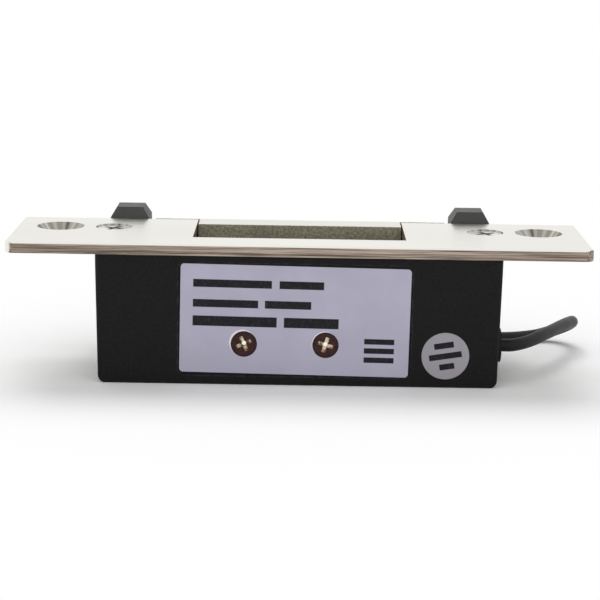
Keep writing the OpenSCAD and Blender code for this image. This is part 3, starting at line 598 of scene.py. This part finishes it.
def printed_finish(name, film, ink, middle, tilt, bars, sheen, holes=()):
    """Satin film with plain printed bars and a painted highlight on the upper left of each hole's
    rim, where the film lifts.
    """
    material, tree, shader, where = start_finish(name)
    mapping = add(tree, "Mapping", vector_type="TEXTURE", inputs={"Vector": where})
    mapping.inputs["Location"].default_value = middle
    mapping.inputs["Rotation"].default_value = (0.0, tilt, 0.0)
    at = mapping.outputs[0]
    printed = 0.0
    for x, z, w, h in bars:
        bar = use_group(tree, "Bar mask", Vector=at, Middle_X=x * MM, Middle_Z=z * MM,
                        Width=w * MM, Height=h * MM)
        printed = math_node(tree, "MAXIMUM", printed, bar.outputs[0])
    grain = use_group(tree, "Casting grain", Vector=where, Scale=1400.0)
    lines = use_group(tree, "Brushed lines", Vector=where, Along=300.0, Across=2600.0)
    patchy = spread(tree, grain.outputs["Grain"], 0.25, 0.5, 0.95, 1.0)
    paper = blend_colour(
        tree, spread(tree, grain.outputs["Mottle"], 0.35, 0.65, 0.0, 1.0),
        tuple(0.955 * c for c in film) + (1.0,), tuple(min(1.0, 1.02 * c) for c in film) + (1.0,))
    skin = blend_colour(tree, math_node(tree, "MULTIPLY", printed, patchy), paper, colour(ink))
    place = add(tree, "SeparateXYZ", inputs={0: where})
    flat = add(tree, "CombineXYZ", inputs={0: place.outputs[0], 1: 0.0, 2: place.outputs[2]})
    # Painted highlight: a pale crescent on the upper left of each hole's rim, where the lifted
    # film catches the light.
    for x, z, radius, shift in holes:
        painted_rim_glint = use_group(tree, "Round place", Vector=flat.outputs[0],
                        Middle=(x - shift, 0.0, z + shift), Radius=radius)
        skin = blend_colour(tree, painted_rim_glint.outputs["Mask"], skin, (0.93, 0.9, 0.93, 1.0))
    metal = spread(tree, printed, 0.0, 1.0, sheen, 0.0)
    rough = spread(tree, lines.outputs["Lines"], 0.3, 0.7, 0.36, 0.5)
    feed(tree, shader, Base_Color=skin, Metallic=metal, Roughness=rough,
         Specular_IOR_Level=0.2)
    bump(tree, shader, math_node(tree, "ADD", lines.outputs["Lines"],
                                 math_node(tree, "MULTIPLY", printed, 1.5)), 0.000006, 0.5)
    return material


# Shared steps of the operators


def dress(node, material):
    """Gives a CAD node its finish."""
    obj = NODES[node]
    obj.data.materials.clear()
    obj.data.materials.append(material)


def round_edges(node, width, segments=2, angle=35.0):
    """Rounds the hard edges of a CAD node with modifiers, its own mesh left as it is."""
    obj = NODES[node]
    weld = obj.modifiers.new("Weld", "WELD")
    weld.merge_threshold = 0.000002
    edge = obj.modifiers.new("Edges", "BEVEL")
    edge.width = width
    edge.segments = segments
    edge.limit_method = "ANGLE"
    edge.angle_limit = math.radians(angle)
    edge.use_clamp_overlap = True
    edge.harden_normals = True
    edge.miter_outer = "MITER_ARC"


def deselect_all():
    """Leaves nothing selected, because an operator acts on all that is."""
    for obj in bpy.context.selected_objects:
        obj.select_set(False)


def wire(name, points, diameter, material, smoothness=6, steps=8):
    """Makes a round wire on a smooth open curve through points in millimetres."""
    deselect_all()
    bpy.ops.curve.primitive_bezier_curve_add()
    obj = bpy.context.object
    obj.name = obj.data.name = name
    spline = obj.data.splines[0]
    spline.bezier_points.add(len(points) - len(spline.bezier_points))
    places = [Vector(place) * MM for place in points]
    floor = min(place.z for place in places)
    for i, knot in enumerate(spline.bezier_points):
        before, after = places[max(i - 1, 0)], places[min(i + 1, len(places) - 1)]
        along = (after - before).normalized()
        knot.handle_left_type = knot.handle_right_type = "FREE"
        knot.co = places[i]
        knot.handle_left = places[i] - along * (places[i] - before).length / 3
        knot.handle_right = places[i] + along * (after - places[i]).length / 3
        knot.handle_left.z = max(floor, knot.handle_left.z)
        knot.handle_right.z = max(floor, knot.handle_right.z)
    obj.data.dimensions = "3D"
    obj.data.bevel_depth = diameter / 2
    obj.data.bevel_resolution = smoothness
    obj.data.resolution_u = steps
    obj.data.use_fill_caps = True
    obj.data.materials.append(material)
    return obj


def lead_points():
    """Route of the lead, then its coil: flat first, and up onto itself at the end."""
    points = list(LEAD_ROUTE)
    lift = 2.85
    for step in range(int(LEAD_TURNS * 16) + 1):
        turned = 22.5 * step
        share = min(1.0, max(0.0, (turned - 245.0) / 70.0))
        rise = lift * share * share * (3 - 2 * share)
        angle = math.radians(-90 - turned)
        points.append((
            LEAD_COIL_AT[0] + LEAD_COIL_R * math.cos(angle),
            LEAD_COIL_AT[1] + LEAD_COIL_R * math.sin(angle), 1.4 + rise))
    return points


# Operators


class STRIKE_OT_camera(bpy.types.Operator):
    """Places the camera where the part is seen from the front and a little above"""

    bl_idname = "strike.camera"
    bl_label = "Camera"

    def execute(self, context):
        deselect_all()
        bpy.ops.object.camera_add(location=(0.00031, -0.41458, 0.10208))
        camera = context.object
        camera.name = "Camera"
        tip = Quaternion((1, 0, 0), math.radians(90 - 11.939))
        roll = Quaternion((0, 0, 1), math.radians(0.913))
        camera.rotation_mode = "QUATERNION"
        camera.rotation_quaternion = tip @ roll
        camera.data.sensor_width = 36
        camera.data.lens = context.scene.strike_sizes.camera_lens
        camera.data.clip_start = 0.01
        camera.data.clip_end = 20
        context.scene.camera = camera
        return {"FINISHED"}


class STRIKE_OT_lead(bpy.types.Operator):
    """Lays the lead, its stored coil and its two bare-ended cores"""

    bl_idname = "strike.lead"
    bl_label = "Lead"

    def execute(self, context):
        sizes, colours = context.scene.strike_sizes, context.scene.strike_colours
        jacket = moulded_finish("Lead jacket", colours.jacket, 0.46, 0.25, 0.00003)
        copper = turned_finish("Bare copper", (0.75, 0.34, 0.17), 0.3)
        lead = wire("lead", lead_points(), sizes.lead_diameter, jacket, 7, 8)
        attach(lead, "body")
        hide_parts("lead_tube", "lead_coil")
        x0, y0 = LEAD_COIL_AT[0], LEAD_COIL_AT[1] + LEAD_COIL_R
        z0 = 4.2
        r = sizes.core_diameter / 2 / MM
        for side, hue in ((-1, (0.28, 0.012, 0.01)), (1, (0.02, 0.02, 0.021))):
            word = "a" if side < 0 else "b"
            path = [
                (x0 - 1, y0 + side * 0.6, z0), (x0 + 3, y0 + 0.2 + side * 0.6, z0 - 0.2),
                (x0 + 7, y0 + 1 + side * 0.8, z0 * 0.7),
                (x0 + 11, y0 + 2 + side * 1.3, z0 * 0.32),
                (x0 + 15, y0 + 2.6 + side * 2, r),
                (x0 + 19, y0 + 2.8 + side * 2.7, r),
            ]
            skin = moulded_finish("Core skin " + word, hue, 0.4, 0.4)
            core = wire("core_" + word, path, sizes.core_diameter, skin, 5, 6)
            tip_path = [
                (x0 + 18, y0 + 2.76 + side * 2.5, r), (x0 + 20.5, y0 + 2.88 + side * 2.85, r),
                (x0 + 23, y0 + 3 + side * 3.2, r * 0.8),
            ]
            tip = wire("core_tip_" + word, tip_path, sizes.core_diameter * 0.6, copper, 4, 6)
            for piece in (core, tip):
                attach(piece, "body")
                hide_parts("lead_cores")
        return {"FINISHED"}


class STRIKE_OT_faceplate(bpy.types.Operator):
    """Finishes the faceplate and the screws that hold it"""

    bl_idname = "strike.faceplate"
    bl_label = "Faceplate"

    def execute(self, context):
        sizes, colours = context.scene.strike_sizes, context.scene.strike_colours
        dress("faceplate", plate_finish(colours))
        round_edges("faceplate", sizes.plate_edge, 2, 50.0)
        screw = turned_finish("Plated screw", (0.8, 0.79, 0.76), 0.26)
        for node in ("plate_screws", "cover_screws"):
            dress(node, screw)
        return {"FINISHED"}


class STRIKE_OT_housing(bpy.types.Operator):
    """Finishes the housing and its base cover"""

    bl_idname = "strike.housing"
    bl_label = "Housing"

    def execute(self, context):
        sizes, colours = context.scene.strike_sizes, context.scene.strike_colours
        dress("housing", black_finish(colours, "Black casting", grey_from=0.0292))
        round_edges("housing", sizes.cast_edge, 2, 50.0)
        dress("base_cover", black_finish(colours, "Black cover", specular=0.3))
        return {"FINISHED"}


class STRIKE_OT_keeper(bpy.types.Operator):
    """Finishes the keeper and its shaft, and winds its spring"""

    bl_idname = "strike.keeper"
    bl_label = "Keeper"

    def execute(self, context):
        sizes, colours = context.scene.strike_sizes, context.scene.strike_colours
        # The last colour is the painted highlight on the keeper's top faces.
        dress("keeper", cast_finish("Keeper casting", colours.keeper, 0.6, (0.80, 0.785, 0.73)))
        round_edges("keeper", sizes.cast_edge, 2, 50.0)
        dress("keeper_shaft", turned_finish("Ground shaft", (0.62, 0.61, 0.59), 0.22))
        spring_steel = turned_finish("Spring wire", (0.42, 0.42, 0.41), 0.26)
        turns, steps = 8, 16
        radius, wire_d = 2.85, 0.9
        start, end = -13.0, 8.0
        pitch = (end - start - wire_d) / turns
        x0 = start + wire_d / 2
        pivot_y, pivot_z = 10.7, 8.0
        last = turns * steps
        coil = [(x0 + pitch * i / steps,
                 pivot_y + radius * math.cos(math.radians(180 + 360 * i / steps)),
                 pivot_z + radius * math.sin(math.radians(180 + 360 * i / steps)))
                for i in range(last + 1)]
        up = [(x0 - 0.05, pivot_y - radius + 1.2, pivot_z + 4.4),
              (x0 - 0.05, pivot_y - radius + 0.3, pivot_z + 2)]
        x1 = x0 + pitch * turns
        down = [(x1 + 0.05, pivot_y - radius + 0.3, pivot_z - 3),
                (x1 + 0.05, pivot_y - radius + 0.9, 2.2)]
        spring = wire("keeper_torsion_spring", up + coil + down, wire_d * MM, spring_steel, 4, 3)
        bpy.ops.object.convert(target="MESH")
        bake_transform(spring)
        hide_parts("keeper_spring")
        return {"FINISHED"}


class STRIKE_OT_solenoid(bpy.types.Operator):
    """Finishes the solenoid, its plunger and its conical return spring"""

    bl_idname = "strike.solenoid"
    bl_label = "Solenoid"

    def execute(self, context):
        dress("solenoid_frame", turned_finish("Plated frame", (0.5, 0.49, 0.45), 0.38, 300.0))
        dress("bobbin", moulded_finish("Bobbin nylon", (0.62, 0.6, 0.52), 0.4))
        dress("coil", copper_finish())
        steel = turned_finish("Turned iron", (0.58, 0.57, 0.55), 0.25, 4200.0)
        for node in ("pole_core", "plunger"):
            dress(node, steel)
        low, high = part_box("plunger_spring")
        middle_y, middle_z = -9.7, 7.9
        x0, x1 = 12.3, 15.6
        wide, narrow = 4.4, 2.9
        count = 2.5
        last = int(count * 16)
        points = []
        for i in range(last + 1):
            share = i / last
            radius = wide + (narrow - wide) * share
            angle = math.radians(360 * count * share)
            points.append((x0 + (x1 - x0) * share, middle_y + radius * math.cos(angle),
                           middle_z + radius * math.sin(angle)))
        spring_steel = turned_finish("Return spring wire", (0.5, 0.5, 0.49), 0.24)
        spring = wire("plunger_return_spring", points, 0.0005, spring_steel, 4, 3)
        bpy.ops.object.convert(target="MESH")
        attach(spring, "body")
        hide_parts("plunger_spring")
        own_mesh(spring)
        return {"FINISHED"}


class STRIKE_OT_lock(bpy.types.Operator):
    """Finishes the locking lever, its pin and its retaining ring"""

    bl_idname = "strike.lock"
    bl_label = "Locking lever"

    def execute(self, context):
        dress("lock_lever", cast_finish("Lever steel", (0.4, 0.39, 0.34), 0.9))
        dress("lever_pin", turned_finish("Ground pin", (0.62, 0.61, 0.59), 0.22))
        dress("lever_clip", turned_finish("Dark ring", (0.2, 0.2, 0.2), 0.35))
        return {"FINISHED"}


class STRIKE_OT_wiring(bpy.types.Operator):
    """Finishes the board, the diode, the end of the lead inside and the grommet"""

    bl_idname = "strike.wiring"
    bl_label = "Wiring"

    def execute(self, context):
        colours = context.scene.strike_colours
        dress("terminal_board", board_finish())
        dress("diode", diode_finish())
        dress("inner_lead", moulded_finish("Inner jacket", colours.jacket, 0.4))
        dress("grommet", moulded_finish("Grommet rubber", (0.012, 0.012, 0.012), 0.6, 0.3))
        return {"FINISHED"}


class STRIKE_OT_print(bpy.types.Operator):
    """Prints the label and the round sticker with plain bars"""

    bl_idname = "strike.print"
    bl_label = "Label and sticker"

    def execute(self, context):
        colours = context.scene.strike_colours
        low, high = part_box("face_screws")
        radius = (high.z - low.z) / 2
        middle_z = (low.z + high.z) / 2
        # Rims of the painted highlight round the screw holes: middle x, middle z, radius, shift
        # to the upper left.
        holes = [(low.x + radius, middle_z, radius + 0.00012, 0.0003),
                 (high.x - radius, middle_z, radius + 0.0001, 0.00016)]
        label = printed_finish("Label film", colours.label, colours.ink, (0, 0, 0),
                               math.radians(0.7), LABEL_BARS, 0.25, holes)
        dress("label", label)
        low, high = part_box("round_sticker")
        middle = ((low.x + high.x) / 2, 0.0, (low.z + high.z) / 2)
        sticker = printed_finish("Sticker paper", colours.sticker, colours.ink, middle,
                                 math.radians(-9), STICKER_BARS, 0.1)
        dress("round_sticker", sticker)
        return {"FINISHED"}


class STRIKE_OT_face_screws(bpy.types.Operator):
    """Finishes the two screws in the label side"""

    bl_idname = "strike.face_screws"
    bl_label = "Label side screws"

    def execute(self, context):
        dress("face_screws", maroon_finish())
        return {"FINISHED"}


class STRIKE_OT_stage(bpy.types.Operator):
    """Sets the pale floor, the soft lamps and the plain surroundings"""

    bl_idname = "strike.stage"
    bl_label = "Stage"

    def execute(self, context):
        deselect_all()
        bpy.ops.mesh.primitive_plane_add(size=8, location=(0, 0, -0.00005))
        floor = context.object
        floor.name = "floor"
        material = bpy.data.materials.new("Pale table")
        material.use_nodes = True
        tree = material.node_tree
        tree.nodes.clear()
        path = add(tree, "LightPath")
        seen = math_node(tree, "MAXIMUM", path.outputs["Is Camera Ray"],
                         path.outputs["Is Glossy Ray"])
        seen = math_node(tree, "MAXIMUM", seen, path.outputs["Is Transmission Ray"])
        tone = blend_colour(tree, seen, (0.7, 0.7, 0.7, 1.0), (1.0, 1.0, 1.0, 1.0))
        cloth = add(tree, "BsdfDiffuse", inputs={"Color": tone})
        out = add(tree, "OutputMaterial")
        tree.links.new(cloth.outputs[0], out.inputs[0])
        floor.data.materials.append(material)

        world = bpy.data.worlds.new("Surroundings")
        context.scene.world = world
        world.use_nodes = True
        tree = world.node_tree
        tree.nodes.clear()
        path = add(tree, "LightPath")
        seen = math_node(tree, "MAXIMUM", path.outputs["Is Camera Ray"],
                         path.outputs["Is Glossy Ray"])
        seen = math_node(tree, "MAXIMUM", seen, path.outputs["Is Transmission Ray"])
        level = spread(tree, seen, 0.0, 1.0, 0.46, 1.0)
        glow = add(tree, "Background", inputs={"Color": (1.0, 1.0, 1.0, 1.0),
                                               "Strength": level})
        out = add(tree, "OutputWorld")
        tree.links.new(glow.outputs[0], out.inputs[0])

        deselect_all()
        bpy.ops.object.light_add(type="SUN", location=(0, 0, 1))
        key = context.object
        key.name = "Soft key"
        key.data.energy = 0.7
        key.data.angle = math.radians(80)
        key.rotation_euler = (math.radians(38), math.radians(-8), 0)
        deselect_all()
        bpy.ops.object.light_add(type="SUN", location=(0, 0.5, 1))
        back = context.object
        back.name = "Soft back"
        back.data.energy = 1.35
        back.data.angle = math.radians(40)
        back.rotation_euler = (math.radians(-30), math.radians(-4), 0)
        for lamp in (key, back):
            lamp.visible_glossy = False
        return {"FINISHED"}


class STRIKE_PT_panel(bpy.types.Panel):
    """Lists the steps that dress the strike"""

    bl_idname = "STRIKE_PT_panel"
    bl_label = "Electric strike"
    bl_space_type = "VIEW_3D"
    bl_region_type = "UI"
    bl_category = "Strike"

    def draw(self, context):
        layout = self.layout
        for name in StrikeSizes.__annotations__:
            layout.prop(context.scene.strike_sizes, name)
        for name in StrikeColours.__annotations__:
            layout.prop(context.scene.strike_colours, name)
        for step in STEPS:
            layout.operator(step.bl_idname)


STEPS = (
    STRIKE_OT_camera,
    STRIKE_OT_lead,
    STRIKE_OT_faceplate,
    STRIKE_OT_housing,
    STRIKE_OT_keeper,
    STRIKE_OT_solenoid,
    STRIKE_OT_lock,
    STRIKE_OT_wiring,
    STRIKE_OT_print,
    STRIKE_OT_face_screws,
    STRIKE_OT_stage,
)
CLASSES = (StrikeSizes, StrikeColours, *STEPS, STRIKE_PT_panel)


def register():
    """Registers the classes and puts the settings on the scene."""
    for item in CLASSES:
        bpy.utils.register_class(item)
    bpy.types.Scene.strike_sizes = PointerProperty(type=StrikeSizes)
    bpy.types.Scene.strike_colours = PointerProperty(type=StrikeColours)


def unregister():
    """Removes the settings and the classes."""
    del bpy.types.Scene.strike_colours
    del bpy.types.Scene.strike_sizes
    for item in reversed(CLASSES):
        bpy.utils.unregister_class(item)


def main():
    """Dresses the part step by step."""
    register()
    make_groups()
    bpy.context.scene.view_settings.view_transform = "Standard"
    for step in STEPS:
        group, name = step.bl_idname.split(".")
        getattr(getattr(bpy.ops, group), name)()


if __name__ == "__main__":
    main()
